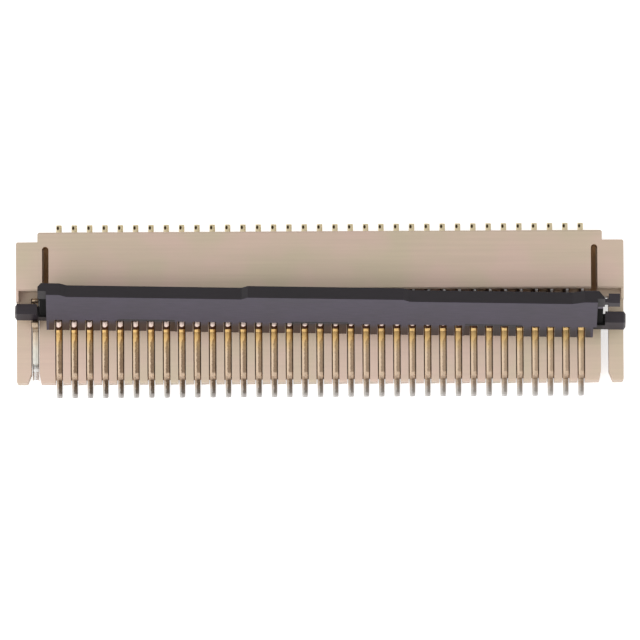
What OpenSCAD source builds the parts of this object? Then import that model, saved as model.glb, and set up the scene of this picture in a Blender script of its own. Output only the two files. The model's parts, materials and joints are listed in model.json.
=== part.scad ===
// Back-flip FPC connector, surface mount, 0.5 mm pitch, with its flip lever open.
// X runs along the contact row, +Y points out of the cable mouth, +Z is up, and Z = 0 is the board.

/* [Contact row] */
// number of contacts in the row
contact_count = 35; // [5:1:60]
// distance from one contact to the next
pitch = 0.5; // [0.5:0.05:1]
// sheet thickness of a stamped contact
contact_thickness = 0.18; // [0.1:0.01:0.25]
// play of a contact in its channel, each side
channel_play = 0.033; // [0.02:0.001:0.1]
// play of a contact where the housing grips it, each side
grip_play = 0.01; // [0.005:0.001:0.03]

/* [Housing] */
// length of housing outside the first and the last contact
end_length = 1.375; // [1.2:0.025:2.5]
// housing size front to back
body_depth = 4.83; // [4.5:0.01:6]
// height of the front block over the cable slot
body_height = 1.9; // [1.8:0.01:2.6]
// height of the low deck behind the front block
deck_height = 0.95; // [0.8:0.01:1.1]
// distance of the front block's rear face in front of the housing's middle
block_back = 0.52; // [0.45:0.01:0.8]
// step back of the two front shoulders
shoulder_step = 0.32; // [0.1:0.01:0.6]
// width of a front shoulder
shoulder_width = 0.7; // [0.3:0.01:1]
// thickness of the floor under the contacts
floor_thickness = 0.12; // [0.08:0.01:0.2]
// radius of the moulded vertical corners
corner_radius = 0.04; // [0.02:0.01:0.2]
// chamfer of the moulded top edges
edge_chamfer = 0.05; // [0.02:0.01:0.1]

/* [Cable slot] */
// underside of the cable slot above the board
slot_floor = 0.7; // [0.6:0.01:0.9]
// height of the cable slot
slot_height = 0.42; // [0.3:0.01:0.6]
// distance of the cable stop in front of the housing's middle
slot_stop = 0.9; // [0.8:0.01:1.2]
// side play of the cable slot outside the contact row
slot_margin = 0.55; // [0.4:0.01:0.8]
// lead-in chamfer of the cable slot's mouth
slot_lead = 0.14; // [0.05:0.01:0.2]
// width of the two relief slits in the top of the front block
slit_width = 0.21; // [0.1:0.01:0.3]
// distance of a relief slit outside the last contact
slit_offset = 0.42; // [0.4:0.005:0.6]
// distance of a relief slit's front end from the housing's front
slit_inset = 0.47; // [0.2:0.01:1]

/* [Lever] */
// opening angle of the lever from its closed position
open_angle = 117; // [60:1:120]
// turn of the slipped lever seen from above
lever_skew = 1.1; // [0:0.1:1.2]
// distance of the hinge axis behind the housing's middle
axis_back = 0.34; // [0.3:0.01:0.4]
// height of the hinge axis
axis_height = 1.58; // [1.5:0.01:1.7]
// radius of the cam shaft under the contact hooks
shaft_radius = 0.12; // [0.08:0.01:0.14]
// distance from the hinge axis to the lever's free edge
lever_reach = 1.757; // [1.4:0.001:2]
// thickness of the lever's plate
lever_thickness = 0.453; // [0.3:0.001:0.6]
// distance of the plate's closed underside below the hinge axis
underside_drop = 0.5; // [0.4:0.01:0.6]
// length of the comb teeth past the hinge axis
heel_length = 0.32; // [0.2:0.01:0.4]
// radius that the comb leaves open round the hinge axis for the contact hooks
window_radius = 0.615; // [0.6:0.005:0.7]
// play between a comb tooth and the contact beside it
window_play = 0.04; // [0.03:0.005:0.12]
// extra reach of the raised lengths of the free edge
edge_rise = 0.11; // [0.05:0.01:0.2]
// side of the square end axles
axle_side = 0.39; // [0.3:0.01:0.45]
// distance of the lever plate's ends outside the last contact
plate_overhang = 0.38; // [0.35:0.01:0.6]
// extra length of the lever plate at its right end
right_extra = 0.11; // [0:0.01:0.3]

/* [Contacts] */
// reach of the solder tails behind the housing
tail_reach = 0.43; // [0.2:0.01:0.8]
// thickness of a solder tail
tail_height = 0.2; // [0.1:0.01:0.3]
// reach of the contact tips in front of the housing
tip_reach = 0.37; // [0.1:0.01:0.6]
// thickness of the contacts' spring arms
arm_height = 0.14; // [0.1:0.01:0.2]
// clearance of the contact hooks round the cam shaft
hook_play = 0.014; // [0.01:0.001:0.04]

/* [Fitting nail] */
// sheet thickness of the fitting nail
nail_thickness = 0.2; // [0.15:0.01:0.3]
// width of the slot that holds a fitting nail
nail_slot_width = 0.26; // [0.2:0.01:0.4]
// distance of the fitting nail outside the last contact
nail_offset = 0.77; // [0.7:0.01:1]

/* [Hidden] */
$fn = 32;
eps = 0.01;
row_length = (contact_count - 1) * pitch;
row_half = row_length / 2;
body_half = row_half + end_length;
front = body_depth / 2;
back = -front;
block_half = body_half - shoulder_width;
channel_width = contact_thickness + 2 * channel_play;
grip_width = contact_thickness + 2 * grip_play;
slot_top = slot_floor + slot_height;
slot_half = row_half + slot_margin;
groove_top = body_height - 0.24;
groove_front = front - 0.3;
recess_floor = axis_height - axle_side * 0.72 - 0.06;
cheek_width = 0.08;
cheek_back = 0.17;
relief_inner = 1.1;
relief_outer = row_half - 0.25;
relief_half = 1.75;
relief_depth = 0.05;
ejector_radius = 0.25;
nail_x = row_half + nail_offset;
slit_x = row_half + slit_offset;
flare_start = back + 0.32;
flare_outer = 0.13;
flare_inner = 0.06;
axis_y = -axis_back;
skew_shift = row_half * sin(lever_skew);
cradle_half = shaft_radius + hook_play + skew_shift;
hook_inner = axis_y - cradle_half;
hook_width = 0.112;
hook_outer = hook_inner - hook_width;
hook_tip = axis_height - 0.06;
arm_under = axis_height + shaft_radius + hook_play;
arm_top = arm_under + arm_height;
seat_top = axis_height - shaft_radius - hook_play;
neck_back = axis_y + skew_shift - sqrt(pow(window_radius, 2) - pow(underside_drop, 2)) + 0.03;
horn_back = axis_y + cradle_half;
horn_front = horn_back + 0.12;
horn_top = axis_height + 0.02;
pillar_back = block_back + 0.1;
pillar_front = slot_stop - 0.08;
base_top = deck_height - 0.03;
base_back = back + 0.2;
tip_front = front + tip_reach;
tip_radius = 0.08;
lower_arm_top = 0.56;
lower_arm_under = lower_arm_top - arm_height - 0.04;
upper_arm_under = groove_top - arm_height - 0.08;
bump_y = front - 0.62;
bump_half = 0.16;
tail_back = back - tail_reach;
plate_under = -underside_drop;
plate_top = plate_under + lever_thickness;
plate_left = -row_half - plate_overhang;
plate_right = row_half + plate_overhang + right_extra;
foot_outer = row_half + plate_overhang;
window_half = contact_thickness / 2 + window_play;
tooth_width = pitch - 2 * window_half;
foot_width = foot_outer - row_half - window_half;
knuckle_radius = 0.2;
raised_reach = lever_reach + edge_rise;
slant = 0.24;
axle_left = -body_half - 0.04;
axle_right = body_half + 0.06;
axle_right_side = axle_side + 0.04;
axle_bevel = 0.06;
neck_length = 0.34;
neck_right = 0.41;
neck_depth = 0.15;
step_spacing = 5.64;
step_length = 1.87;
step_depth = 0.03;
ear_left = 0.28;
ear_right = 0.24;
ear_length = 0.49;
ear_under = plate_top - 0.3;
ear_bevel_left = 0.1;
ear_bevel_right = 0.19;
web_depth = 0.1;
web_thickness = 0.1;
latch_gap = 0.12;
latch_width = 0.37;
latch_drop = 0.24;
latch_length = 0.23;
latch_thickness = 0.36;
end_rise = 0.42;
middle_rise_left = -2.55;
middle_rise_right = 2.9;
middle_slant = 0.2;
nail_post_front = axis_y + (nail_x + nail_thickness) * sin(lever_skew) - axle_side * 0.72 - 0.03;
nail_post_back = nail_post_front - 0.19;
nail_horn_back = axis_y + (nail_x + nail_thickness) * sin(lever_skew) + axle_side * 0.72 + 0.03;
nail_horn_front = nail_horn_back + 0.13;
nail_cradle = axis_height - axle_side * 0.72 - 0.03;
nail_top = axis_height + 0.2;
nail_bend = back + 0.55;
nail_foot_end = back + 0.1;
nail_anchor_front = 0.9;
nail_base_top = deck_height - 0.04;
contact_names = [for (i = [1:contact_count]) str("contact_", i < 10 ? "0" : "", i)];

// extrudes a Y-Z outline along X, centred on x
module along_x(x, width) {
    translate([x - width / 2, 0, 0])
        rotate([90, 0, 90])
            linear_extrude(width)
                children();
}

// box from its two opposite corners
module span(a, b) {
    translate([min(a[0], b[0]), min(a[1], b[1]), min(a[2], b[2])])
        cube([abs(b[0] - a[0]), abs(b[1] - a[1]), abs(b[2] - a[2])]);
}

// side outline of the housing, with its moulded top edges bevelled
module body_outline(y_front) {
    polygon([
        [back, 0],
        [y_front, 0],
        [y_front, body_height - edge_chamfer],
        [y_front - edge_chamfer, body_height],
        [block_back + edge_chamfer, body_height],
        [block_back, body_height - edge_chamfer],
        [block_back, deck_height],
        [back + edge_chamfer, deck_height],
        [back, deck_height - edge_chamfer]
    ]);
}

// plan outline of the housing: shoulders set back at both front corners
module body_plan() {
    polygon([
        [-body_half + corner_radius, back],
        [body_half - corner_radius, back],
        [body_half, back + corner_radius],
        [body_half, front - shoulder_step - corner_radius],
        [body_half - corner_radius, front - shoulder_step],
        [block_half, front - shoulder_step],
        [block_half, front - edge_chamfer],
        [block_half - edge_chamfer, front],
        [-block_half + edge_chamfer, front],
        [-block_half, front - edge_chamfer],
        [-block_half, front - shoulder_step],
        [-body_half + corner_radius, front - shoulder_step],
        [-body_half, front - shoulder_step - corner_radius],
        [-body_half, back + corner_radius]
    ]);
}

// room of one contact in the housing: channel in the deck, passage in the front block
module channel_cut(x) {
    along_x(x, channel_width)
        polygon([
            [back - eps, -eps],
            [base_back - 0.06, -eps],
            [base_back + 0.06, floor_thickness],
            [pillar_back - 0.06, floor_thickness],
            [pillar_back - 0.06, groove_top],
            [block_back - eps, groove_top],
            [block_back - eps, deck_height + eps],
            [back - eps, deck_height + eps]
        ]);
    along_x(x, grip_width)
        polygon([
            [pillar_back - 0.07, floor_thickness],
            [slot_stop + eps, floor_thickness],
            [slot_stop + eps, groove_top],
            [pillar_back - 0.07, groove_top]
        ]);
    along_x(x, channel_width) {
        polygon([
            [slot_stop, floor_thickness + 0.1],
            [front + eps, floor_thickness + 0.1],
            [front + eps, slot_floor + eps],
            [slot_stop, slot_floor + eps]
        ]);
        polygon([
            [slot_stop, slot_top - eps],
            [groove_front, slot_top - eps],
            [groove_front, groove_top - 0.12],
            [groove_front - 0.12, groove_top],
            [slot_stop, groove_top]
        ]);
    }
}

// cable slot with its flared mouth
module cable_slot_cut() {
    along_x(0, 2 * slot_half)
        polygon([
            [slot_stop, slot_floor],
            [front - slot_lead, slot_floor],
            [front + eps, slot_floor - slot_lead * 0.5],
            [front + eps, slot_top + slot_lead],
            [front - slot_lead, slot_top],
            [slot_stop, slot_top]
        ]);
}

// relief slit in the top of the front block, round at its front end
module slit_cut(side) {
    slit_end = front - slit_inset - slit_width / 2;
    span([side * slit_x - slit_width / 2, block_back - eps, slot_floor + 0.1],
         [side * slit_x + slit_width / 2, slit_end, body_height + eps]);
    translate([side * slit_x, slit_end, slot_floor + 0.1])
        cylinder(h = body_height, d = slit_width);
}

// slot for a fitting nail, flared where it leaves the rear face
module nail_slot_cut(side) {
    half = nail_slot_width / 2;
    translate([side * nail_x, 0, -eps])
        linear_extrude(deck_height + 2 * eps)
            polygon([
                [-half, nail_post_front + 0.06],
                [half, nail_post_front + 0.06],
                [half, flare_start],
                [half + (side > 0 ? flare_outer : flare_inner), back - eps],
                [-half - (side > 0 ? flare_inner : flare_outer), back - eps],
                [-half, flare_start]
            ]);
    span([side * nail_x - nail_thickness / 2 - grip_play, nail_post_front, -eps],
         [side * nail_x + nail_thickness / 2 + grip_play, nail_anchor_front + 0.03, 0.5]);
    span([side * nail_x - half, nail_post_front, -eps],
         [side * nail_x + half, nail_horn_front + 0.03, recess_floor + eps]);
}

// raised seat under an end axle, joined to the front block
module axle_seat(side) {
    inner = plate_right + 0.03;
    span([side * inner, axis_y + 0.12, deck_height - eps], [side * body_half, block_back + eps, recess_floor]);
}

// thin cheek that closes the end of the front block beside an end axle
module cheek(side) {
    span([side * (body_half - cheek_width), cheek_back, deck_height - eps],
         [side * body_half, block_back + edge_chamfer + eps, body_height - edge_chamfer]);
}

// shallow relief in the underside, which leaves feet at the ends and in the middle
module underside_cut(side) {
    span([side * relief_inner, -relief_half, -eps], [side * relief_outer, relief_half, relief_depth]);
    for (y = [-1, 1])
        translate([side * relief_inner / 2, y * relief_half * 0.75, -eps])
            cylinder(h = relief_depth / 2 + eps, r = ejector_radius);
}

module housing() {
    color([0.86, 0.79, 0.71])
    difference() {
        union() {
            intersection() {
                along_x(0, 2 * body_half)
                    body_outline(front);
                linear_extrude(body_height)
                    body_plan();
            }
            for (side = [-1, 1]) {
                axle_seat(side);
                cheek(side);
            }
        }
        cable_slot_cut();
        for (i = [0:contact_count - 1])
            channel_cut(i * pitch - row_half);
        for (side = [-1, 1]) {
            slit_cut(side);
            nail_slot_cut(side);
            underside_cut(side);
        }
    }
}

// stamped contact: two front spring arms, a pillar, a hooked rear arm over a cam seat, and a solder tail
module contact_outline() {
    union() {
        polygon([
            [tail_back, 0],
            [base_back - 0.12, 0],
            [base_back, floor_thickness],
            [pillar_front, floor_thickness],
            [pillar_front, lower_arm_under],
            [tip_front - tip_radius, lower_arm_under],
            [tip_front - tip_radius, lower_arm_under + 2 * tip_radius],
            [bump_y + bump_half * 2, lower_arm_top],
            [bump_y + bump_half, slot_floor + 0.02],
            [bump_y, slot_floor + 0.06],
            [bump_y - bump_half, slot_floor + 0.02],
            [bump_y - bump_half * 2, lower_arm_top],
            [pillar_front, lower_arm_top],
            [pillar_front, upper_arm_under],
            [bump_y - bump_half * 2, upper_arm_under],
            [bump_y - bump_half, slot_top - 0.02],
            [bump_y, slot_top - 0.06],
            [bump_y + bump_half, slot_top - 0.02],
            [bump_y + bump_half, upper_arm_under + arm_height],
            [pillar_front, upper_arm_under + arm_height],
            [pillar_back, groove_top - 0.04],
            [block_back - 0.05, groove_top - 0.02],
            [horn_front, arm_top],
            [hook_outer + 0.1, arm_top],
            [hook_outer + 0.065, arm_top - 0.04],
            [hook_outer, arm_top - 0.19],
            [hook_outer, hook_tip + 0.05],
            [hook_outer + 0.05, hook_tip],
            [hook_inner, hook_tip],
            [hook_inner, arm_under - 0.03],
            [hook_inner + 0.03, arm_under],
            [horn_front, arm_under],
            [pillar_back, upper_arm_under - 0.06],
            [pillar_back, base_top - 0.25],
            [horn_front + 0.08, base_top - 0.25],
            [horn_front, base_top - 0.17],
            [horn_front, horn_top - 0.03],
            [horn_front - 0.03, horn_top],
            [horn_back, horn_top],
            [horn_back, seat_top + 0.04],
            [horn_back - 0.04, seat_top],
            [axis_y - cradle_half + 0.14, seat_top],
            [axis_y - cradle_half + 0.06, seat_top - 0.06],
            [neck_back, base_top + 0.2],
            [neck_back, base_top + 0.1],
            [neck_back - 0.04, base_top + 0.06],
            [axis_y - cradle_half + 0.02, base_top + 0.05],
            [axis_y - cradle_half - 0.06, base_top + 0.02],
            [axis_y - cradle_half - 0.14, base_top],
            [base_back + 0.12, base_top],
            [base_back, base_top - 0.05],
            [base_back - 0.1, tail_height + 0.06],
            [base_back - 0.17, tail_height],
            [tail_back + 0.05, tail_height],
            [tail_back, tail_height - 0.08]
        ]);
        translate([tip_front - tip_radius, lower_arm_under + tip_radius])
            circle(r = tip_radius);
    }
}

module contact(i) {
    color([0.86, 0.72, 0.42])
        along_x(i * pitch - row_half, contact_thickness)
            contact_outline();
}

// stamped nail: solder foot, body in its slot, post behind the axle and an anchor in the housing
module fitting_nail_left() {
    color([0.8, 0.8, 0.8])
        along_x(-nail_x, nail_thickness)
            polygon([
                [nail_foot_end, 0],
                [nail_anchor_front, 0],
                [nail_anchor_front, 0.4],
                [nail_horn_front, 0.4],
                [nail_horn_front, nail_top - 0.12],
                [nail_horn_front - 0.05, nail_top - 0.07],
                [nail_horn_back + 0.03, nail_top - 0.07],
                [nail_horn_back, nail_top - 0.12],
                [nail_horn_back, nail_cradle + 0.06],
                [nail_horn_back - 0.06, nail_cradle],
                [nail_post_front + 0.06, nail_cradle],
                [nail_post_front, nail_cradle + 0.06],
                [nail_post_front, nail_top - 0.05],
                [nail_post_front - 0.05, nail_top],
                [nail_post_back + 0.08, nail_top],
                [nail_post_back, nail_top - 0.1],
                [nail_post_back, nail_base_top + 0.1],
                [nail_post_back - 0.1, nail_base_top],
                [nail_bend + 0.08, nail_base_top],
                [nail_bend, nail_base_top - 0.08],
                [nail_bend - 0.05, tail_height + 0.08],
                [nail_bend - 0.13, tail_height],
                [nail_foot_end + 0.05, tail_height],
                [nail_foot_end, tail_height - 0.08]
            ]);
}

// plan of the lever's plate: a stepped free edge with slanted transitions
module plate_plan() {
    polygon([
        [plate_left, 0],
        [plate_left, -raised_reach],
        [plate_left + end_rise, -raised_reach],
        [plate_left + end_rise + slant, -lever_reach],
        [middle_rise_left, -lever_reach],
        [middle_rise_left + middle_slant, -raised_reach],
        [middle_rise_right - middle_slant, -raised_reach],
        [middle_rise_right, -lever_reach],
        [plate_right - end_rise - slant * 1.6, -lever_reach],
        [plate_right - end_rise, -raised_reach],
        [plate_right, -raised_reach],
        [plate_right, 0]
    ]);
}

// side outline of one comb tooth: the plate's root, the knuckle round the shaft and the heel
module tooth_outline() {
    union() {
        circle(r = knuckle_radius);
        polygon([
            [-lever_reach + 0.3, plate_under],
            [heel_length - 0.06, plate_under],
            [heel_length, plate_under + 0.06],
            [knuckle_radius, 0],
            [0, knuckle_radius],
            [-knuckle_radius * 1.6, plate_top],
            [-lever_reach + 0.3, plate_top]
        ]);
    }
}

// three shallow steps across the comb's root on the closed lever's underside
module root_step_cut() {
    for (i = [-1:1])
        span([i * step_spacing - step_length / 2, -window_radius * 0.57, plate_under - eps],
             [i * step_spacing + step_length / 2, heel_length + eps, plate_under + step_depth]);
}

// square end axle with a bevelled end, relieved beside the plate
module end_axle(side, inner, outer, width, neck) {
    half = width / 2;
    difference() {
        union() {
            span([side * inner, -half, -half], [side * (outer - axle_bevel), half, half]);
            translate([side * (outer - axle_bevel), 0, 0])
                rotate([0, side * 90, 0])
                    rotate([0, 0, 45])
                        cylinder(h = axle_bevel, r1 = half * sqrt(2), r2 = (half - axle_bevel) * sqrt(2), $fn = 4);
        }
        span([side * (inner + 0.03), -half - eps, -half - eps],
             [side * (inner + neck), -half + neck_depth, half + eps]);
    }
}

// ear beside the free edge, bevelled on its closed top, with a thin web down to the end axle
module ear(side, inner, width, bevel) {
    translate([0, ear_length - raised_reach, 0])
        rotate([90, 0, 0])
            linear_extrude(ear_length)
                polygon([
                    [side * (inner - eps), ear_under],
                    [side * (inner + width), ear_under],
                    [side * (inner + width), plate_top - bevel * 1.4],
                    [side * (inner + width - bevel), plate_top],
                    [side * (inner - eps), plate_top]
                ]);
    span([side * (inner - eps), ear_length - raised_reach - eps, plate_top - web_depth],
         [side * (inner + width - 0.04), 0, plate_top - web_depth + web_thickness]);
}

// lever in its closed position, hinge axis along X through the origin
module lever_closed() {
    difference() {
        translate([0, 0, plate_under])
            linear_extrude(lever_thickness)
                plate_plan();
        along_x((plate_left + plate_right) / 2, plate_right - plate_left + 2)
            circle(r = window_radius, $fn = 48);
    }
    rotate([0, 90, 0])
        cylinder(h = 2 * foot_outer - eps, r = shaft_radius, center = true);
    difference() {
        for (i = [0:contact_count - 2])
            along_x((i + 0.5) * pitch - row_half, tooth_width)
                tooth_outline();
        root_step_cut();
    }
    for (side = [-1, 1])
        along_x(side * (foot_outer - foot_width / 2), foot_width)
            tooth_outline();
    end_axle(-1, -plate_left - 0.02, -axle_left, axle_side, neck_length);
    end_axle(1, foot_outer - 0.02, axle_right, axle_right_side, neck_right);
    ear(-1, -plate_left, ear_left, ear_bevel_left);
    ear(1, plate_right, ear_right, ear_bevel_right);
    latch_inner = plate_right + ear_right + latch_gap;
    latch_end = latch_drop - raised_reach;
    span([plate_right + eps, latch_end, ear_under + 0.02], [latch_inner + eps, latch_end + 0.16, plate_top - 0.14]);
    span([latch_inner, latch_end, ear_under], [latch_inner + latch_width, latch_end + latch_length, ear_under + latch_thickness]);
}

module lever() {
    color([0.30, 0.28, 0.31])
        translate([0, axis_y, axis_height])
            rotate([0, 0, -lever_skew])
                rotate([-open_angle, 0, 0])
                    lever_closed();
}

housing();
lever();
fitting_nail_left();
for (i = [0:contact_count - 1])
    contact(i);
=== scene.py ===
import json
import math
import bmesh
import bpy
import numpy as np
from mathutils import Matrix, Vector


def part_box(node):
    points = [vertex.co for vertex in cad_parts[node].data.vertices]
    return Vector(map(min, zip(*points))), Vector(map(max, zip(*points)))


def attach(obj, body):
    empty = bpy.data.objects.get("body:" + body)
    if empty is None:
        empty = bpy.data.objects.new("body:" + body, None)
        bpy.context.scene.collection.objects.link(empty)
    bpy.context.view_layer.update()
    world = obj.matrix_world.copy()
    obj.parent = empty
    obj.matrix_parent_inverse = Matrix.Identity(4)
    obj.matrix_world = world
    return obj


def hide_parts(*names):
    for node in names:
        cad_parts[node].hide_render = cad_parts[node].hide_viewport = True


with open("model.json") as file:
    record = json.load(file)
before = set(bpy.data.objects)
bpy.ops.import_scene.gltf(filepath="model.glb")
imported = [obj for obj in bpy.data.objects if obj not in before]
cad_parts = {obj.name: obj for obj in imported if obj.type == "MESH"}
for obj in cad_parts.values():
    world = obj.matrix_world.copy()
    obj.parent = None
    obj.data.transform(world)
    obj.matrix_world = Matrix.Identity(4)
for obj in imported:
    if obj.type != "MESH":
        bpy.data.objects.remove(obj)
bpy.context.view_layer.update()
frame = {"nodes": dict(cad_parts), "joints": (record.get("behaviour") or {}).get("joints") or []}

# ---- Housing ----
# One piece of natural liquid crystal polymer, injection moulded from a gate at the cable side.
# A solid block takes the cable, and 35 open channels behind it take the contacts.
# The tool leaves its edges a little soft.
MM = 0.001
HOUSING_EDGE = 0.008 * MM  # radius of its edges
END_BLOCK = 0.88 * MM  # solid at each end, outside the channels and the end slits
OUTER_WALL = 0.03 * MM  # the front and back faces keep the ivory to this depth
BLOCK_Y = 0.52 * MM  # where the deck steps up to the cable block
REAR_DECK, BLOCK_DECK = 0.92 * MM, 1.86 * MM  # heights of the two decks
CHANNELS_X = 8.75 * MM  # the channels lie within this on each side, the end slits beyond it
SHARP = 0.01 * MM  # half the width over which one tint gives way to the next at a wall
# What a Math or a Mix node does.
TIMES = {"operation": "MULTIPLY"}  # i0 times i1
NEAR = {"operation": "COMPARE"}  # 1 where i0 is within i2 of i1, else 0
OVER = {"data_type": "RGBA"}  # i7 over i6
SHADED = {"data_type": "RGBA", "blend_type": "MULTIPLY"}  # i6 times i7


def srgb(code):
    """Linear RGBA of an sRGB hex colour: v / 12.92 near black, else ((v + 0.055) / 1.055) ^ 2.4."""
    v = np.array([int(code[i:i + 2], 16) for i in (1, 3, 5)]) / 255.0
    lin = np.where(v <= 0.04045, v / 12.92, ((v + 0.055) / 1.055) ** 2.4)
    return (*[float(c) for c in lin], 1.0)


def node(tree, kind, settings=None, **sockets):
    """Adds one shader node: settings are its properties, sockets are values or (node, output).

    A socket goes by its name, with _ for a space, or by i and its number. In a Map Range i1 and i2
    are the range read and i3 and i4 the range given, 0 to 1 unless said. In a Mix of colours i6
    and i7 are the two colours, and output 2 is the mixture.
    """
    made = tree.nodes.new(kind)
    for key, value in (settings or {}).items():
        setattr(made, key, value)
    for name, value in sockets.items():
        key = int(name[1:]) if name[0] == "i" and name[1:].isdigit() else name.replace("_", " ")
        if isinstance(value, tuple) and len(value) == 2 and hasattr(value[0], "outputs"):
            tree.links.new(value[0].outputs[value[1]], made.inputs[key])
        else:
            made.inputs[key].default_value = value
    return made


def surface(name, **uniform):
    """New material, with what is the same all over its surface set on its Principled shader.

    Returns the material, its node tree, its shader and the piece's own coordinates.
    """
    mat = bpy.data.materials.new(name)
    mat.use_nodes = True
    tree = mat.node_tree
    bsdf = tree.nodes["Principled BSDF"]
    for socket, value in uniform.items():
        bsdf.inputs[socket].default_value = value
    return mat, tree, bsdf, (node(tree, "ShaderNodeTexCoord"), "Object")


def within(tree, value, low, high, soft):
    """1 between low and high and 0 outside: a rising times a falling ramp, each 2 * soft wide."""
    rise = node(tree, "ShaderNodeMapRange", Value=value, i1=low - soft, i2=low + soft)
    fall = node(tree, "ShaderNodeMapRange", Value=value, i1=high - soft, i2=high + soft,
                i3=1.0, i4=0.0)
    return node(tree, "ShaderNodeMath", TIMES, i0=(rise, "Result"), i1=(fall, "Result")), "Value"


def merged_copy(name):
    """A CAD node's mesh as whole flat faces: doubles merged, and faces in one plane joined."""
    bm = bmesh.new()
    bm.from_mesh(frame["nodes"][name].data)
    bmesh.ops.remove_doubles(bm, verts=bm.verts, dist=1e-7)
    bmesh.ops.dissolve_limit(bm, angle_limit=math.radians(1), verts=bm.verts, edges=bm.edges)
    return bm


def softened(name, body, radius, mat):
    """A moulding in a CAD node's shape, with every edge that turns over 35 degrees rounded."""
    bm = merged_copy(name)
    data = bpy.data.meshes.new(name + "_moulded")
    bm.to_mesh(data)
    bm.free()
    data.materials.append(mat)
    piece = bpy.data.objects.new(name + "_moulded", data)
    bpy.context.scene.collection.objects.link(piece)
    bevel = piece.modifiers.new("soft_edges", "BEVEL")
    bevel.width = radius
    bevel.segments = 2
    bevel.limit_method = "ANGLE"
    bevel.angle_limit = math.radians(35)
    bevel.use_clamp_overlap = True
    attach(piece, body)
    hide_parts(name)


# Moulded LCP is matt: it shows broad mottling, faint flow streaks along the row and a fine grain.
mat, tree, bsdf, place = surface("moulded_ivory_lcp", Roughness=0.52)
xyz = node(tree, "ShaderNodeSeparateXYZ", Vector=place)
# Mottling a millimetre or two across, between a greener and a pinker ivory.
broad = node(tree, "ShaderNodeTexNoise", Vector=place, Scale=0.55 / MM, Detail=2.0)
mottle = node(tree, "ShaderNodeMapRange", Value=(broad, "Fac"), i1=0.35, i2=0.65)
tint = node(tree, "ShaderNodeMix", OVER, Factor=(mottle, "Result"),
            i6=srgb("#ccbca4"), i7=srgb("#d5bbac"))
# Flow streaks of the melt, 0.1 mm wide and several millimetres long.
along = node(tree, "ShaderNodeMapping", Vector=place, Scale=(0.25, 10.0, 10.0))
streak = node(tree, "ShaderNodeTexNoise", Vector=(along, "Vector"), Scale=1.0 / MM, Detail=2.0)
level = node(tree, "ShaderNodeMapRange", Value=(streak, "Fac"), i1=0.3, i2=0.7, i3=0.97, i4=1.03)
tint = node(tree, "ShaderNodeMix", SHADED, Factor=1.0, i6=(tint, 2), i7=(level, "Result"))
# It is painted a little darker towards the cable side: painted shade, as less light reaches that
# side.
painted_front_shade = node(tree, "ShaderNodeMapRange", Value=(xyz, "Y"), i1=-2.5 * MM, i2=2.5 * MM,
            i3=1.06, i4=0.9)
tint = node(tree, "ShaderNodeMix", SHADED, Factor=1.0, i6=(tint, 2), i7=(painted_front_shade, "Result"))
# The thin walls below the decks let light through, and it is painted into them: a warm painted glow
# in the channels, browner painted shade in their front ends and in the end slits, and a golden
# painted reflection beside the gilt of the contacts.
low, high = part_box("housing")
walls_x = within(tree, (xyz, "X"), low[0] + END_BLOCK, high[0] - END_BLOCK, SHARP)
walls_y = within(tree, (xyz, "Y"), low[1] + OUTER_WALL, high[1] - OUTER_WALL, SHARP)
inside = node(tree, "ShaderNodeMath", TIMES, i0=walls_x, i1=walls_y)
deck = node(tree, "ShaderNodeMapRange", Value=(xyz, "Y"), i1=BLOCK_Y - 0.001 * MM,
            i2=BLOCK_Y + 0.001 * MM, i3=REAR_DECK, i4=BLOCK_DECK)
depth = node(tree, "ShaderNodeMath", {"operation": "SUBTRACT"}, i0=(deck, "Result"), i1=(xyz, "Z"))
sunk = node(tree, "ShaderNodeMapRange", Value=(depth, "Value"), i1=0.0, i2=0.03 * MM)
sunk_inside = node(tree, "ShaderNodeMath", TIMES, i0=(inside, "Value"), i1=(sunk, "Result"))
off_floor = node(tree, "ShaderNodeMapRange", Value=(xyz, "Z"), i1=0.08 * MM, i2=0.1 * MM)
walls_painted_light_mask = node(tree, "ShaderNodeMath", TIMES, i0=(sunk_inside, "Value"), i1=(off_floor, "Result"))
ahead = node(tree, "ShaderNodeMapRange", Value=(xyz, "Y"), i1=0.0, i2=0.1 * MM)
channel_painted_light = node(tree, "ShaderNodeMix", OVER, Factor=(ahead, "Result"),
               i6=srgb("#fbe0c4"), i7=srgb("#b59a84"))
# A golden painted reflection of the contacts' gilt, on the channel walls beside it.
gold_painted_reflection = within(tree, (xyz, "Y"), -1.02 * MM, -0.5 * MM, 0.06 * MM)
channel_painted_light = node(tree, "ShaderNodeMix", OVER, Factor=gold_painted_reflection, i6=(channel_painted_light, 2), i7=srgb("#ffc480"))
# In the end slits, outside the channels, a browner painted shade.
channels = node(tree, "ShaderNodeMath", NEAR, i0=(xyz, "X"), i1=0.0, i2=CHANNELS_X)
walls_painted_light = node(tree, "ShaderNodeMix", OVER, Factor=(channels, "Value"),
              i6=srgb("#c0976a"), i7=(channel_painted_light, 2))
tint = node(tree, "ShaderNodeMix", OVER, Factor=(walls_painted_light_mask, "Value"), i6=(tint, 2), i7=(walls_painted_light, 2))
tree.links.new(tint.outputs[2], bsdf.inputs["Base Color"])
# A fine spark-eroded grain of about 0.06 mm.
grain = node(tree, "ShaderNodeTexNoise", Vector=place, Scale=16.0 / MM, Detail=2.0)
bump = node(tree, "ShaderNodeBump", Strength=0.25, Distance=0.004 * MM, Height=(grain, "Fac"))
tree.links.new(bump.outputs["Normal"], bsdf.inputs["Normal"])
softened("housing", "connector", HOUSING_EDGE, mat)

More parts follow.
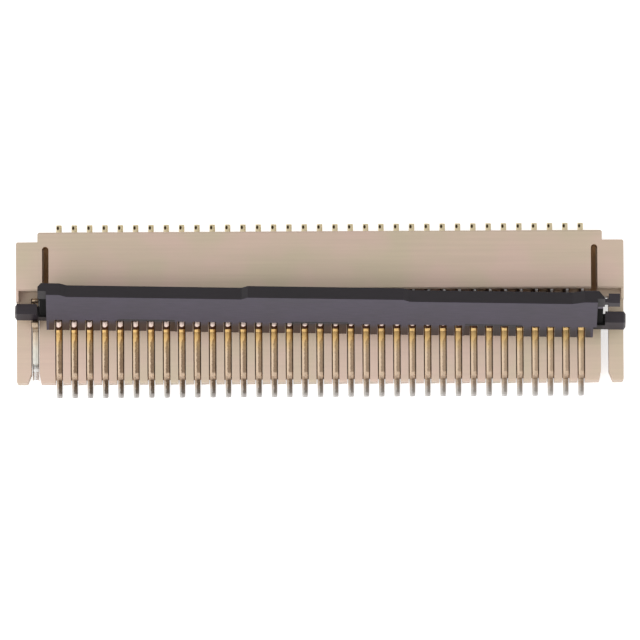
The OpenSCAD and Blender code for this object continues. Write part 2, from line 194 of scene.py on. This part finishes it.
# ---- Flip lever ----
# One piece of black glass-filled liquid crystal polymer, injection moulded: a plate with a comb of
# teeth at its hinge, square end axles and ears. It snaps in under the hooks of the contacts.
LEVER_EDGE = 0.02 * MM  # radius of its edges
BROAD_FACE_Z = -0.49 * MM  # just inside its broad lower face
COMB_X = 8.8 * MM  # the comb lies within this on each side
AXLE_X = 9.19 * MM  # the end axles lie beyond this
INSERT_PITCH, INSERT_X = 5.64 * MM, 0.93 * MM  # the mould inserts: spacing, half width
LEFT_RECESS, RIGHT_RECESS = (-9.15 * MM, -8.9 * MM), (9.01 * MM, 9.26 * MM)  # beside the plate
PLUS = {"operation": "ADD"}  # i0 plus i1

# Black LCP is satin and a little blue: it shows soft mottling and short flecks of glass fibre.
mat, tree, bsdf, place = surface("moulded_black_lcp", IOR=1.45)
# Coordinates of the closed lever from its hinge: X along it, -Y to the free edge, Z through.
hinge = frame["joints"][0]
skew = math.atan2(-hinge["axis"][1], hinge["axis"][0])
opened = math.radians(hinge["range_deg"][1])
shift = -(Matrix.Rotation(skew, 3, "Z") @ Vector(hinge["pos_m"]))
straight = node(tree, "ShaderNodeMapping", Vector=place, Rotation=(0.0, 0.0, skew), Location=shift)
closed = node(tree, "ShaderNodeMapping", Vector=(straight, "Vector"), Rotation=(opened, 0.0, 0.0))
own = node(tree, "ShaderNodeSeparateXYZ", Vector=(closed, "Vector"))
# Mottling a millimetre across. The broad face is bluer, and painted paler: a painted reflection of
# the white paper that it faces.
broad = node(tree, "ShaderNodeTexNoise", Vector=place, Scale=0.8 / MM, Detail=3.0)
plain = node(tree, "ShaderNodeMix", OVER, Factor=(broad, "Fac"),
             i6=srgb("#1a161a"), i7=srgb("#221c23"))
blue_with_painted_sheen = node(tree, "ShaderNodeMix", OVER, Factor=(broad, "Fac"),
            i6=srgb("#38323d"), i7=srgb("#433b4e"))
broad_face = node(tree, "ShaderNodeMapRange", Value=(own, "Z"), i1=BROAD_FACE_Z - 0.005 * MM,
                  i2=BROAD_FACE_Z + 0.005 * MM, i3=1.0, i4=0.0)
tint = node(tree, "ShaderNodeMix", OVER, Factor=(broad_face, "Result"), i6=(plain, 2), i7=(blue_with_painted_sheen, 2))
# The comb's root is painted with light bounced from the ivory ribs: browner in the middle of the
# row, blacker towards its right end.
root = node(tree, "ShaderNodeMapRange", Value=(own, "Y"), i1=-0.38 * MM, i2=-0.1 * MM)
comb = node(tree, "ShaderNodeMath", NEAR, i0=(own, "X"), i1=0.0, i2=COMB_X)
comb_root = node(tree, "ShaderNodeMath", TIMES, i0=(root, "Result"), i1=(comb, "Value"))
reach = node(tree, "ShaderNodeMapRange", Value=(own, "X"), i1=2.0 * MM, i2=7.0 * MM)
rib_bounce_painted_light = node(tree, "ShaderNodeMix", OVER, Factor=(reach, "Result"),
            i6=srgb("#3b2518"), i7=srgb("#2a2223"))
tint = node(tree, "ShaderNodeMix", OVER, Factor=(comb_root, "Value"), i6=(tint, 2), i7=(rib_bounce_painted_light, 2))
# Three dark lines along the root of the comb, at the mould inserts, are the painted shadows of
# shallow steps there.
from_insert = node(tree, "ShaderNodeMath", {"operation": "WRAP"}, i0=(own, "X"),
                   i1=INSERT_PITCH / 2, i2=-INSERT_PITCH / 2)
line_x = within(tree, (from_insert, "Value"), -INSERT_X, INSERT_X, 0.02 * MM)
line_y = within(tree, (own, "Y"), -0.45 * MM, -0.375 * MM, 0.008 * MM)
line = node(tree, "ShaderNodeMath", TIMES, i0=line_x, i1=line_y)
tint = node(tree, "ShaderNodeMix", OVER, Factor=(line, "Value"), i6=(tint, 2), i7=srgb("#060406"))
# The end axles are painted paler.
between_axles = node(tree, "ShaderNodeMath", NEAR, i0=(own, "X"), i1=0.0, i2=AXLE_X)
tint = node(tree, "ShaderNodeMix", OVER, Factor=(between_axles, "Value"),
            i6=srgb("#302a31"), i7=(tint, 2))
# Beside the plate the skin of the deep recesses is dull, and painted nearly black as painted shade,
# with a pale painted highlight at the top of the right one.
left = within(tree, (own, "X"), *LEFT_RECESS, SHARP)
right = within(tree, (own, "X"), *RIGHT_RECESS, SHARP)
either = node(tree, "ShaderNodeMath", PLUS, i0=left, i1=right)
recess_y = within(tree, (own, "Y"), -1.36 * MM, -0.03 * MM, SHARP)
recess = node(tree, "ShaderNodeMath", TIMES, i0=(either, "Value"), i1=recess_y)
upper_y = within(tree, (own, "Y"), -1.4 * MM, -0.95 * MM, 0.02 * MM)
right_painted_highlight = node(tree, "ShaderNodeMath", TIMES, i0=right, i1=upper_y)
recess_painted_shade = node(tree, "ShaderNodeMix", OVER, Factor=(right_painted_highlight, "Value"),
            i6=srgb("#040304"), i7=srgb("#8f8894"))
tint = node(tree, "ShaderNodeMix", OVER, Factor=(recess, "Value"), i6=(tint, 2), i7=(recess_painted_shade, 2))
# Glass fibre flecks, about 0.05 by 0.4 mm.
along = node(tree, "ShaderNodeMapping", Vector=(closed, "Vector"), Scale=(2.2, 14.0, 14.0))
fleck = node(tree, "ShaderNodeTexNoise", Vector=(along, "Vector"), Scale=1.0 / MM, Detail=2.0)
level = node(tree, "ShaderNodeMapRange", Value=(fleck, "Fac"), i1=0.35, i2=0.75, i3=0.92, i4=1.15)
tint = node(tree, "ShaderNodeMix", SHADED, Factor=1.0, i6=(tint, 2), i7=(level, "Result"))
tree.links.new(tint.outputs[2], bsdf.inputs["Base Color"])
rough = node(tree, "ShaderNodeMapRange", Value=(recess, "Value"), i3=0.45, i4=0.95)
tree.links.new(rough.outputs["Result"], bsdf.inputs["Roughness"])
bump = node(tree, "ShaderNodeBump", Strength=0.3, Distance=0.004 * MM, Height=(fleck, "Fac"))
tree.links.new(bump.outputs["Normal"], bsdf.inputs["Normal"])
softened("lever", "lever", LEVER_EDGE, mat)

# ---- Contacts ----
# 35 phosphor bronze stampings on edge, pressed into the housing from behind. Their solder tails
# are tinned and the rest is gold flashed. From above they show the sheared edge of the sheet: a
# smooth burnished band on the left with a rolled corner, and a rough broken band on the right.
PITCH = 0.5 * MM  # from contact to contact
CONTACT_ROLL = 0.01 * MM  # width of the rolled corner
CONTACT_BREAK = 0.006 * MM  # how far the broken corner is drawn in
ARM_Z = 1.3 * MM, 2.5 * MM  # heights of the hooked arm
TIMES_PLUS = {"operation": "MULTIPLY_ADD"}  # i0 times i1, plus i2
# Colours along Y in millimetres, from the tail's tip to the cable mouth.
# Burnished band: silver tail, then gold painted with light and shade: a champagne base, a painted
# reflection of the white surroundings, and full gold beside the lever, painted shade under it.
BURNISHED_WITH_PAINTED_LIGHT = [
    (-2.9, "#bfbdbb"), (-2.6, "#beb9b4"), (-2.4, "#c9b7a4"), (-2.1, "#d3bca5"), (-1.5, "#dac3a9"),
    (-1.2, "#dcbf94"), (-0.96, "#e6c081"), (-0.6, "#e6bf80"), (0.9, "#e4cdb4"), (2.8, "#dccfae")]
# Broken band: dark down the tail's bend, a pale facet over it with a painted highlight, then brown
# up to the gilt, painted darker beside the lever as painted shade.
BROKEN_WITH_PAINTED_LIGHT = [
    (-2.9, "#b8b4b2"), (-2.74, "#b0aba8"), (-2.7, "#6e6760"), (-2.42, "#6c5a48"),
    (-2.29, "#7c6450"), (-2.26, "#d0baa4"), (-2.12, "#d0baa4"), (-2.09, "#917a66"),
    (-1.5, "#9c846b"), (-1.15, "#ab8f6a"), (-1.0, "#a8804e"), (-0.6, "#9a6e3c"),
    (0.9, "#d8c3a4"), (2.8, "#e0d0a8")]
# Hooked arm, all painted light and shade: a dark painted shade on its end, a white painted
# highlight on its top, grey-brown painted shade under the lever, and bright painted light from Y =
# 0 on.
ARM_PAINTED_LIGHT = [
    (-0.8, "#3a1c08"), (-0.69, "#46230c"), (-0.672, "#f2dcd2"), (-0.545, "#f2dcd2"),
    (-0.505, "#6b5a50"), (-0.3, "#8a786c"), (0.0, "#ffffff"), (0.6, "#ffffff")]


def side_outline(name):
    """Ordered outline of a stamping in the Y-Z plane: the largest flat face on its left side."""
    bm = merged_copy(name)
    left = min(v.co.x for v in bm.verts)
    on_left = [f for f in bm.faces if f.normal.x < -0.99 and abs(f.verts[0].co.x - left) < 1e-6]
    face = max(on_left, key=lambda f: f.calc_area())
    points = np.array([[v.co.y, v.co.z] for v in face.verts])
    bm.free()
    # Points on a straight run are dropped: there the cross product of the two sides is zero.
    ahead = np.roll(points, -1, axis=0) - points
    turned = np.abs(np.cross(ahead, np.roll(ahead, 1, axis=0))) > 1e-13
    return points[turned]


def stamped_mesh(name, outline, middle, thickness, roll, broken):
    """Sheet metal cut to an outline, which is carried across the thickness in X and drawn in.

    The rolled left corner is a quarter ellipse, for t from 0 to 90 degrees: it lies
    roll * (1 - cos t) from the left face and is drawn in by 0.9 * roll * (1 - sin t). From just
    right of the middle the sheet tapers in a straight line to the broken corner, 0.008 mm from
    the right face, and a chamfer 0.012 mm deeper ends it. Drawing in moves each point of the
    outline along its mitre, which is the sum of the two sides' inward normals over 1 + their
    dot product.
    """
    # The outline runs anticlockwise, so that the faces point outwards.
    y, z = outline.T
    if np.sum(y * np.roll(z, -1) - z * np.roll(y, -1)) < 0:
        outline = outline[::-1]
    ahead = np.roll(outline, -1, axis=0) - outline
    ahead /= np.linalg.norm(ahead, axis=1, keepdims=True)
    inward = np.stack([-ahead[:, 1], ahead[:, 0]], axis=1)
    mitre = inward + np.roll(inward, 1, axis=0)
    mitre /= np.sum(mitre * inward, axis=1, keepdims=True)
    t = np.linspace(0, math.pi / 2, 5)
    left, right = -thickness / 2, thickness / 2
    taper, chamfer_width, chamfer_depth = thickness * 0.02, 0.008 * MM, 0.012 * MM
    x = np.concatenate([left + roll * (1 - np.cos(t)), [taper, right - chamfer_width, right]])
    draw = np.concatenate([roll * 0.9 * (1 - np.sin(t)), [0.0, broken, broken + chamfer_depth]])
    rings = outline[None] + draw[:, None, None] * mitre[None]
    count, size = len(x), len(outline)
    across = np.broadcast_to((x + middle)[:, None, None], (count, size, 1))
    points = np.concatenate([across, rings], axis=2).reshape(-1, 3)
    a = np.arange(size)
    b = np.roll(a, -1)
    k = np.arange(count - 1)[:, None] * size
    quads = np.stack([k + a, k + b, k + size + b, k + size + a], axis=2).reshape(-1, 4).tolist()
    caps = [list(range(size))[::-1], list(range((count - 1) * size, count * size))]
    data = bpy.data.meshes.new(name)
    data.from_pydata(points.tolist(), [], quads + caps)
    data.update()
    return data


def stamped(name, stands_for, outline, roll, broken, mat):
    """A stamping of this outline, as wide in X as the CAD node that it stands for."""
    low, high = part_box(stands_for)
    data = stamped_mesh(name, outline, (low[0] + high[0]) / 2, high[0] - low[0], roll, broken)
    data.materials.append(mat)
    piece = bpy.data.objects.new(name, data)
    bpy.context.scene.collection.objects.link(piece)
    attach(piece, "connector")
    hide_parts(stands_for)


def steps(tree, value, stops):
    """Colour by a length, linear between stops, which are (millimetres, colour) in order."""
    places = [at for at, code in stops]
    first, last = places[0], places[-1]
    scaled = node(tree, "ShaderNodeMapRange", Value=value, i1=first * MM, i2=last * MM)
    ramp = node(tree, "ShaderNodeValToRGB", Fac=(scaled, "Result"))
    marks = ramp.color_ramp.elements
    for at in places[1:-1]:
        marks.new((at - first) / (last - first))
    for mark, (at, code) in zip(marks, stops):
        mark.color = srgb(code)
    return ramp, "Color"


# Gold flash over bronze is a warm metal gloss, duller where the sheet has torn.
mat, tree, bsdf, place = surface("gold_flashed_bronze", Metallic=1.0)
xyz = node(tree, "ShaderNodeSeparateXYZ", Vector=place)
across = node(tree, "ShaderNodeMath", {"operation": "WRAP"}, i0=(xyz, "X"),
              i1=PITCH / 2, i2=-PITCH / 2)
# The burnished band is painted palest along the sheet's own corner, a painted highlight, and
# painted yellower in the gilt of the row's right-hand half, painted light where the lever shades
# it.
smooth = steps(tree, (xyz, "Y"), BURNISHED_WITH_PAINTED_LIGHT)
corner = node(tree, "ShaderNodeMapRange", Value=(across, "Value"), i1=-0.075 * MM, i2=-0.03 * MM,
              i3=1.12, i4=0.95)
smooth = node(tree, "ShaderNodeMix", SHADED, Factor=1.0, i6=smooth, i7=(corner, "Result"))
# The painted light on the gilt grows towards the right end of the row.
gilt_y = within(tree, (xyz, "Y"), -1.05 * MM, -0.3 * MM, 0.07 * MM)
gilt_x = node(tree, "ShaderNodeMapRange", Value=(xyz, "X"), i1=0.0, i2=7.0 * MM)
gilt_painted_light = node(tree, "ShaderNodeMath", TIMES, i0=gilt_y, i1=(gilt_x, "Result"))
smooth = node(tree, "ShaderNodeMix", OVER, Factor=(gilt_painted_light, "Value"),
              i6=(smooth, 2), i7=srgb("#ffd896"))
# The broken band is pitted at 0.05 mm.
pits = node(tree, "ShaderNodeTexNoise", Vector=place, Scale=22.0 / MM, Detail=2.0)
shade = node(tree, "ShaderNodeMapRange", Value=(pits, "Fac"), i1=0.3, i2=0.7, i3=0.72, i4=1.22)
torn = node(tree, "ShaderNodeMix", SHADED, Factor=1.0,
            i6=steps(tree, (xyz, "Y"), BROKEN_WITH_PAINTED_LIGHT), i7=(shade, "Result"))
# The boundary wanders by 0.03 mm. It lies further right in the gilt, and a little further right
# from contact to contact, by 0.0012 of X. Along the row the broken band also fades.
wander = node(tree, "ShaderNodeTexNoise", Vector=place, Scale=12.0 / MM, Detail=3.0)
edge = node(tree, "ShaderNodeMath", TIMES_PLUS, i0=(wander, "Fac"), i1=0.08 * MM,
            i2=(across, "Value"))
in_gilt = node(tree, "ShaderNodeMapRange", Value=(xyz, "Y"), i1=-1.12 * MM, i2=-0.98 * MM,
               i3=0.004 * MM, i4=-0.052 * MM)
wider = node(tree, "ShaderNodeMapRange", Value=(xyz, "X"), i1=-2.0 * MM, i2=7.0 * MM,
             i3=1.0, i4=1.7)
moved = node(tree, "ShaderNodeMath", TIMES_PLUS, i0=(in_gilt, "Result"), i1=(wider, "Result"),
             i2=(edge, "Value"))
drift = node(tree, "ShaderNodeMath", TIMES_PLUS, i0=(xyz, "X"), i1=-0.0012, i2=(moved, "Value"))
split = node(tree, "ShaderNodeMapRange", Value=(drift, "Value"), i1=0.017 * MM, i2=0.037 * MM)
fade = node(tree, "ShaderNodeMapRange", Value=(xyz, "X"), i1=-6.0 * MM, i2=7.0 * MM,
            i3=1.0, i4=0.5)
side = node(tree, "ShaderNodeMath", TIMES, i0=(split, "Result"), i1=(fade, "Result"))
tint = node(tree, "ShaderNodeMix", OVER, Factor=(side, "Value"), i6=(smooth, 2), i7=(torn, 2))
# The arm's painted light and shade are bowed: they lie at Y - 6 X^2, with X across the sheet in
# millimetres.
square = node(tree, "ShaderNodeMath", TIMES, i0=(across, "Value"), i1=(across, "Value"))
bowed = node(tree, "ShaderNodeMath", TIMES_PLUS, i0=(square, "Value"), i1=-6.0 / MM,
             i2=(xyz, "Y"))
arm_painted_light = steps(tree, (bowed, "Value"), ARM_PAINTED_LIGHT)
# Its left flank is painted dark as painted shade: narrow on the hook, and half the arm's width
# ahead of it.
front = node(tree, "ShaderNodeMapRange", Value=(xyz, "Y"), i1=0.0, i2=0.1 * MM,
             i3=0.0, i4=-0.065 * MM)
across_arm = node(tree, "ShaderNodeMath", PLUS, i0=(across, "Value"), i1=(front, "Result"))
flank_painted_shade = node(tree, "ShaderNodeMapRange", Value=(across_arm, "Value"),
             i1=-0.075 * MM, i2=-0.045 * MM, i3=1.0, i4=0.0)
arm_painted_light = node(tree, "ShaderNodeMix", OVER, Factor=(flank_painted_shade, "Result"), i6=arm_painted_light, i7=srgb("#4f3c30"))
raised = within(tree, (xyz, "Z"), *ARM_Z, 0.02 * MM)
tint = node(tree, "ShaderNodeMix", OVER, Factor=raised, i6=(tint, 2), i7=(arm_painted_light, 2))
# At the tip a dark oval, about 0.08 by 0.12 mm, is painted.
flat = node(tree, "ShaderNodeCombineXYZ", X=(across, "Value"), Y=(xyz, "Y"))
oval = node(tree, "ShaderNodeMapping", {"vector_type": "TEXTURE"}, Vector=(flat, "Vector"),
            Location=(-0.035 * MM, 2.675 * MM, 0.0), Scale=(0.04, 0.06, 1.0))
far = node(tree, "ShaderNodeVectorMath", {"operation": "LENGTH"}, i0=(oval, "Vector"))
tip_dark_oval = node(tree, "ShaderNodeMapRange", Value=(far, "Value"), i1=0.8 * MM, i2=1.25 * MM,
            i3=1.0, i4=0.0)
tint = node(tree, "ShaderNodeMix", OVER, Factor=(tip_dark_oval, "Result"),
            i6=(tint, 2), i7=srgb("#3a3022"))
tree.links.new(tint.outputs[2], bsdf.inputs["Base Color"])
gloss = node(tree, "ShaderNodeMapRange", Value=(side, "Value"), i3=0.42, i4=0.6)
tree.links.new(gloss.outputs["Result"], bsdf.inputs["Roughness"])
outline = side_outline("contact_01")
for i in range(1, 36):
    stamped(f"stamped_{i:02d}", f"contact_{i:02d}", outline,
            CONTACT_ROLL, CONTACT_BREAK, mat)

# ---- Fitting nail ----
# A brass stamping on edge at the left end, pressed into its slot and tinned all over. It solders
# the end of the housing to the board.
NAIL_ROLL = 0.04 * MM  # width of the rolled corner
NAIL_BREAK = 0.012 * MM  # how far the broken corner is drawn in
# Colours along Y in millimetres, painted light and shade: a painted highlight on the foot, a dark
# line of painted shade at the bend, and painted shade, warmer, up towards the lever.
TINNED_WITH_PAINTED_LIGHT = [
    (-2.5, "#f2f2f3"), (-1.92, "#f6f6f5"), (-1.86, "#8a8c8a"), (-1.8, "#dad9d2"),
    (-1.3, "#d9d4c8"), (-1.0, "#d3c4b1"), (-0.5, "#b09c85")]

# Matt tin is pale grey and softly clouded, in patches of about 0.2 mm.
mat, tree, bsdf, place = surface("tinned_brass", Roughness=0.35, Metallic=1.0)
xyz = node(tree, "ShaderNodeSeparateXYZ", Vector=place)
cloud = node(tree, "ShaderNodeTexNoise", Vector=place, Scale=6.0 / MM, Detail=3.0)
shade = node(tree, "ShaderNodeMapRange", Value=(cloud, "Fac"), i1=0.3, i2=0.7, i3=0.9, i4=1.06)
tint = node(tree, "ShaderNodeMix", SHADED, Factor=1.0,
            i6=steps(tree, (xyz, "Y"), TINNED_WITH_PAINTED_LIGHT), i7=(shade, "Result"))
tree.links.new(tint.outputs[2], bsdf.inputs["Base Color"])
stamped("stamped_nail", "fitting_nail_left", side_outline("fitting_nail_left"),
        NAIL_ROLL, NAIL_BREAK, mat)

# ---- Studio ----
# A sheet of white paper lies under the connector, in a white light tent that is brightest high up
# on the left of the tails' side. One soft lamp stands there too.
PAPER_SIDE, PAPER_TOP = 1.2, -1e-5  # metres
TENT_TOWARDS = (-0.42, -0.33, 0.845)  # its brightest point
TENT_LOW, TENT_HIGH = 0.12, 1.1  # its strength opposite to that point and at it

# Plain matt paper. To the camera and in reflections it glows a little, so that it shows white.
floor_data = bpy.data.meshes.new("floor")
sides = [-PAPER_SIDE / 2, PAPER_SIDE / 2]
xs, ys = np.meshgrid(sides, sides)
corners = np.stack([xs.ravel(), ys.ravel(), np.full(4, PAPER_TOP)], axis=1)
floor_data.from_pydata(corners.tolist(), [], [(0, 1, 3, 2)])
floor = bpy.data.objects.new("floor", floor_data)
bpy.context.scene.collection.objects.link(floor)
mat = bpy.data.materials.new("white_paper")
mat.use_nodes = True
tree = mat.node_tree
tree.nodes.clear()
path = node(tree, "ShaderNodeLightPath")
seen = node(tree, "ShaderNodeMath", {"operation": "MAXIMUM"},
            i0=(path, "Is Camera Ray"), i1=(path, "Is Glossy Ray"))
paper = node(tree, "ShaderNodeBsdfDiffuse", Color=srgb("#ececec"))
glow = node(tree, "ShaderNodeEmission", Color=srgb("#ffffff"), Strength=0.62)
both = node(tree, "ShaderNodeAddShader", i0=(paper, "BSDF"), i1=(glow, "Emission"))
mix = node(tree, "ShaderNodeMixShader", Fac=(seen, "Value"), i1=(paper, "BSDF"),
           i2=(both, "Shader"))
node(tree, "ShaderNodeOutputMaterial", Surface=(mix, "Shader"))
floor_data.materials.append(mat)

world = bpy.data.worlds.new("studio")
bpy.context.scene.world = world
world.use_nodes = True
tree = world.node_tree
tree.nodes.clear()
path = node(tree, "ShaderNodeLightPath")
way = node(tree, "ShaderNodeTexCoord")
toward = node(tree, "ShaderNodeVectorMath", {"operation": "DOT_PRODUCT"},
              i0=(way, "Generated"), i1=TENT_TOWARDS)
tent = node(tree, "ShaderNodeMapRange", Value=(toward, "Value"), i1=-1.0, i2=1.0,
            i3=TENT_LOW, i4=TENT_HIGH)
fill = node(tree, "ShaderNodeBackground", Color=srgb("#fbfaf8"), Strength=(tent, "Result"))
white = node(tree, "ShaderNodeBackground", Color=srgb("#ffffff"), Strength=1.0)
mix = node(tree, "ShaderNodeMixShader", Fac=(path, "Is Camera Ray"),
           i1=(fill, "Background"), i2=(white, "Background"))
node(tree, "ShaderNodeOutputWorld", Surface=(mix, "Shader"))


def placed(name, data, right, up, back, position):
    """Puts a lamp or camera, which looks against its back axis, at a position with these axes."""
    thing = bpy.data.objects.new(name, data)
    bpy.context.scene.collection.objects.link(thing)
    m = np.eye(4)
    m[:3] = np.stack([right, up, back, position], axis=1)
    thing.matrix_world = Matrix(m.tolist())
    return thing


# The key lamp is a square softbox aimed at the connector. Azimuth 0 is on the tails' side, and 90
# on the right.
azimuth, elevation, distance = math.radians(-60), math.radians(62), 0.35
key = bpy.data.lights.new("key", "AREA")
key.energy = 0.25
key.size = 0.3
out = np.array([math.sin(azimuth) * math.cos(elevation),
                -math.cos(azimuth) * math.cos(elevation), math.sin(elevation)])
right = np.cross([0, 0, 1.0], out)
right /= np.linalg.norm(right)
placed("key", key, right, np.cross(out, right), out, out * distance)

# The camera is nearly overhead on the tail side, far off with a long lens, and rolled a little.
# The frame, 640 by 640, has 30.64 to the millimetre at the connector, so it is 20.9 mm wide.
elevation, roll, distance = math.radians(85), math.radians(0.29), 0.42
frame_width = 640 / 30.64 * MM
target = np.array([0.0, -0.321 * MM, 0.0])
back = np.array([0, -math.cos(elevation), math.sin(elevation)])
level_up = np.array([0, math.sin(elevation), math.cos(elevation)])
level_right = np.array([1.0, 0, 0])
right = math.cos(roll) * level_right - math.sin(roll) * level_up
up = math.sin(roll) * level_right + math.cos(roll) * level_up
camera = bpy.data.cameras.new("camera")
camera.sensor_width = 36
camera.lens = camera.sensor_width * distance / frame_width
camera.clip_start = 0.01
bpy.context.scene.camera = placed("camera", camera, right, up, back, target + back * distance)
bpy.context.scene.view_settings.view_transform = "Standard"
